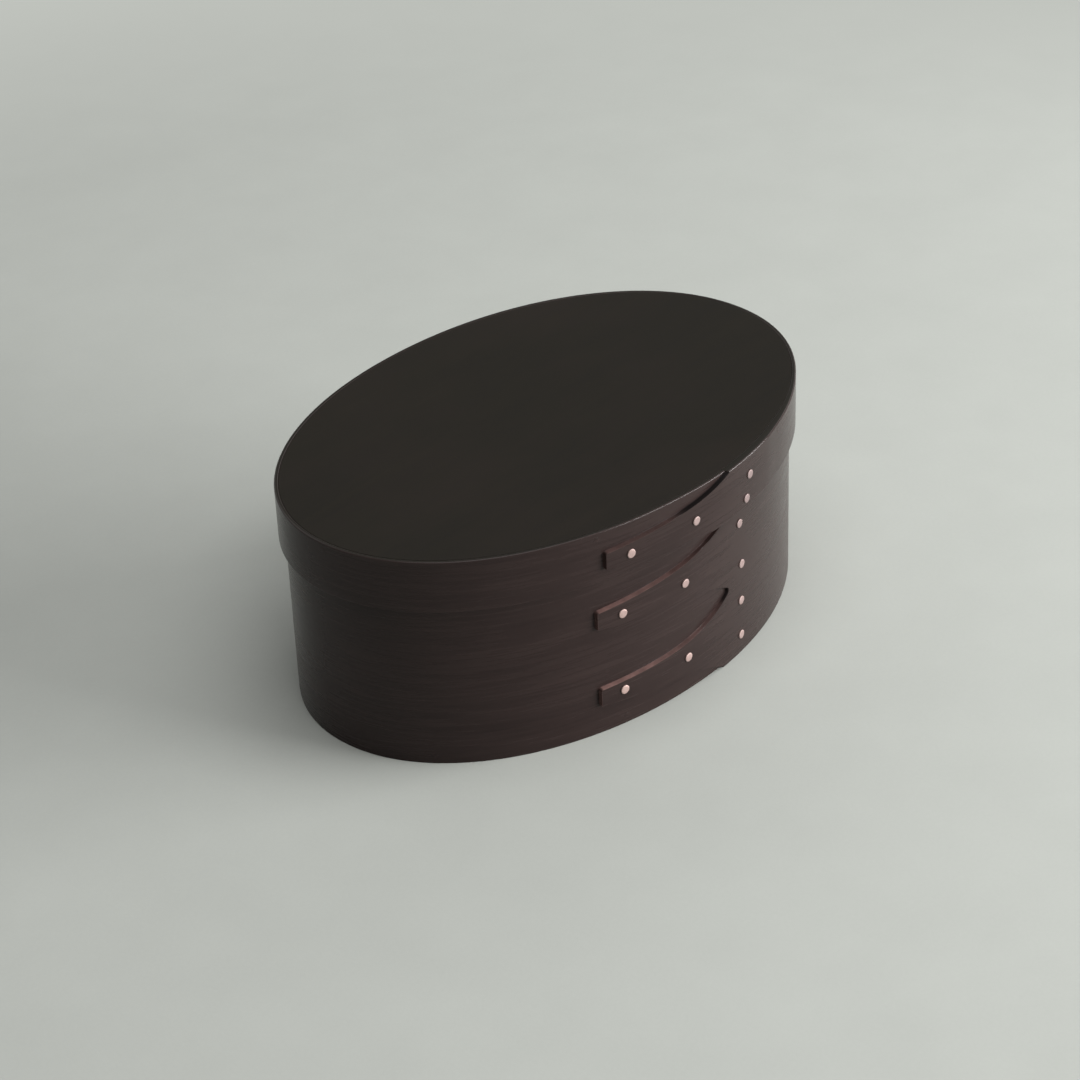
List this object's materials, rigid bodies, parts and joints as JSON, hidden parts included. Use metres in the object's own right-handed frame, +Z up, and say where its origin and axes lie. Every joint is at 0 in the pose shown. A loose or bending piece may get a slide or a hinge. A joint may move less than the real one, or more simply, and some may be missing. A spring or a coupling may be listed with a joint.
{
  "type": "oval box",
  "caption": "Oval box of bent wood with swallowtail finger laps held by copper tacks, and a snug lid that lifts off.",
  "frame": {"origin": "middle of the oval, the lap left out, on the underside of the base board", "axes": "+X along the oval's long axis, +Z up; the finger laps face -Y and their fingers point to -X"},
  "size_m": [0.17, 0.1181, 0.0644],
  "materials": {
    "band_wood": "very dark brown stain with a soft satin polish",
    "board_wood": "very dark brown stain, more matt than the bands",
    "peg_wood": "the same dark stain, cut flush",
    "tack_copper": "pale dull copper"
  },
  "bodies": {
    "base": {"base_band": "band_wood", "base_board": "board_wood", "lower_finger_tip_tack": "tack_copper", "lower_finger_middle_tack": "tack_copper", "lower_finger_root_tack_low": "tack_copper", "lower_finger_root_tack_high": "tack_copper", "upper_finger_tip_tack": "tack_copper", "upper_finger_middle_tack": "tack_copper", "upper_finger_root_tack_low": "tack_copper", "upper_finger_root_tack_high": "tack_copper", "base_peg_1": "peg_wood", "base_peg_2": "peg_wood", "base_peg_3": "peg_wood", "base_peg_4": "peg_wood", "base_peg_5": "peg_wood", "base_peg_6": "peg_wood", "base_peg_7": "peg_wood", "base_peg_8": "peg_wood"},
    "lid": {"lid_band": "band_wood", "lid_board": "board_wood", "lid_finger_tip_tack": "tack_copper", "lid_finger_middle_tack": "tack_copper", "lid_finger_root_tack_low": "tack_copper", "lid_finger_root_tack_high": "tack_copper", "lid_peg_1": "peg_wood", "lid_peg_2": "peg_wood", "lid_peg_3": "peg_wood", "lid_peg_4": "peg_wood", "lid_peg_5": "peg_wood", "lid_peg_6": "peg_wood"}
  },
  "joints": [
    {"name": "lid_lift", "type": "slide", "parent": "base", "child": "lid", "axis": [0, 0, 1], "range_m": [0, 0.12]}
  ]
}
